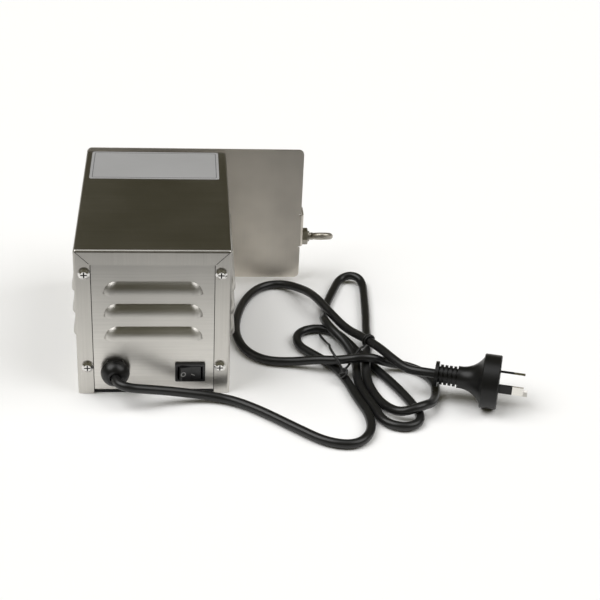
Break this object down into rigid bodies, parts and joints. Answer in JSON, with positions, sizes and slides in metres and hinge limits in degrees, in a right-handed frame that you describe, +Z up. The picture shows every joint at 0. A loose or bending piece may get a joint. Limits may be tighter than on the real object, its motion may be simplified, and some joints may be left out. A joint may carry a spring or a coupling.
{
  "type": "rotisserie drive motor",
  "caption": "Mains rotisserie drive motor: louvred folded-steel case on a mounting plate with clamp screw, rear rocker switch, corded plug and a geared square spit socket.",
  "frame": {"origin": "middle of the case's footprint, on the ground, on the underside of its base pad", "axes": "+Y points out of the drive side along the spit socket, +X points to the long wing of the mounting plate, +Z is up"},
  "size_m": [0.3173, 0.2469, 0.1148],
  "materials": {
    "steel_case": "brushed stainless sheet",
    "steel_plate": "brushed stainless plate",
    "bright_steel": "bright plated fasteners",
    "zinc_steel": "zinc plated",
    "ground_steel": "machined steel",
    "lamination": "stacked laminations",
    "bronze": "sintered bronze and brass",
    "copper": "copper",
    "black_gloss": "moulded, light gloss",
    "black_matte": "moulded nylon",
    "cord_black": "flexible sheath",
    "pin_brass": "plated pins",
    "lead_brown": "insulation",
    "lead_blue": "insulation",
    "lead_green": "insulation"
  },
  "bodies": {
    "frame": {"arbor_spacers": "zinc_steel", "base_pad": "black_matte", "bobbin": "black_matte", "chassis": "steel_case", "clamp_nut": "bright_steel", "clinch_nuts": "zinc_steel", "coil": "copper", "coil_core": "lamination", "cord": "cord_black", "cord_tail": "cord_black", "cord_tie": "cord_black", "cover": "steel_case", "cover_screws_drive": "bright_steel", "cover_screws_rear": "bright_steel", "earth_lug": "bronze", "earth_nut": "zinc_steel", "earth_stud": "zinc_steel", "gear_arbors": "ground_steel", "gearbox_back_plate": "zinc_steel", "gearbox_front_plate": "zinc_steel", "gearbox_pillars": "zinc_steel", "gearbox_screws_back": "zinc_steel", "gearbox_screws_front": "bright_steel", "gland_body": "black_matte", "gland_lock_nut": "black_matte", "gland_nut": "black_matte", "lead_active": "lead_brown", "lead_earth": "lead_green", "lead_neutral": "lead_blue", "lead_switched": "lead_brown", "motor_bridge": "zinc_steel", "motor_bushes": "bronze", "motor_screws": "zinc_steel", "motor_spacers": "zinc_steel", "mounting_plate": "steel_plate", "output_bushes": "bronze", "pin_sleeves": "black_matte", "plug_body": "cord_black", "plug_pins": "pin_brass", "shading_rings": "copper", "spacer_washers": "bright_steel", "stator_stack": "lamination", "switch_housing": "black_gloss", "switch_terminals": "bronze"},
    "output": {"output_gear": "ground_steel", "spit_hub": "ground_steel", "hub_clip": "bright_steel"},
    "gear_3": {"gear_3": "ground_steel"},
    "gear_2": {"gear_2": "ground_steel"},
    "gear_1": {"gear_1": "ground_steel"},
    "rotor": {"rotor_shaft": "ground_steel", "rotor_core": "lamination"},
    "rocker": {"rocker": "black_gloss"},
    "clamp_screw": {"eye_screw": "bright_steel"}
  },
  "joints": [
    {"name": "spit_turn", "type": "hinge", "parent": "frame", "child": "output", "pos_m": [0, 0.065, 0.04], "axis": [0, 1, 0], "continuous": true},
    {"name": "gear_3_turn", "type": "hinge", "parent": "frame", "child": "gear_3", "pos_m": [-0.01129, 0.065, 0.07101], "axis": [0, 1, 0], "continuous": true},
    {"name": "gear_2_turn", "type": "hinge", "parent": "frame", "child": "gear_2", "pos_m": [0.01571, 0.056, 0.07101], "axis": [0, 1, 0], "continuous": true},
    {"name": "gear_1_turn", "type": "hinge", "parent": "frame", "child": "gear_1", "pos_m": [0.02696, 0.049, 0.0905], "axis": [0, 1, 0], "continuous": true},
    {"name": "rotor_turn", "type": "hinge", "parent": "frame", "child": "rotor", "pos_m": [0.0106, 0.018, 0.08105], "axis": [0, 1, 0], "continuous": true},
    {"name": "rocker_tilt", "type": "hinge", "parent": "frame", "child": "rocker", "pos_m": [0.025, -0.0775, 0.0173], "axis": [0, 0, 1], "range_deg": [-18, 0]},
    {"name": "clamp_screw_out", "type": "slide", "parent": "frame", "child": "clamp_screw", "axis": [1, 0, 0], "range_m": [0, 0.018]}
  ],
  "couplings": [
    {"joint": "gear_3_turn", "follows": "spit_turn", "ratio": -4},
    {"joint": "gear_2_turn", "follows": "spit_turn", "ratio": 16},
    {"joint": "gear_1_turn", "follows": "spit_turn", "ratio": -64},
    {"joint": "rotor_turn", "follows": "spit_turn", "ratio": 384}
  ]
}
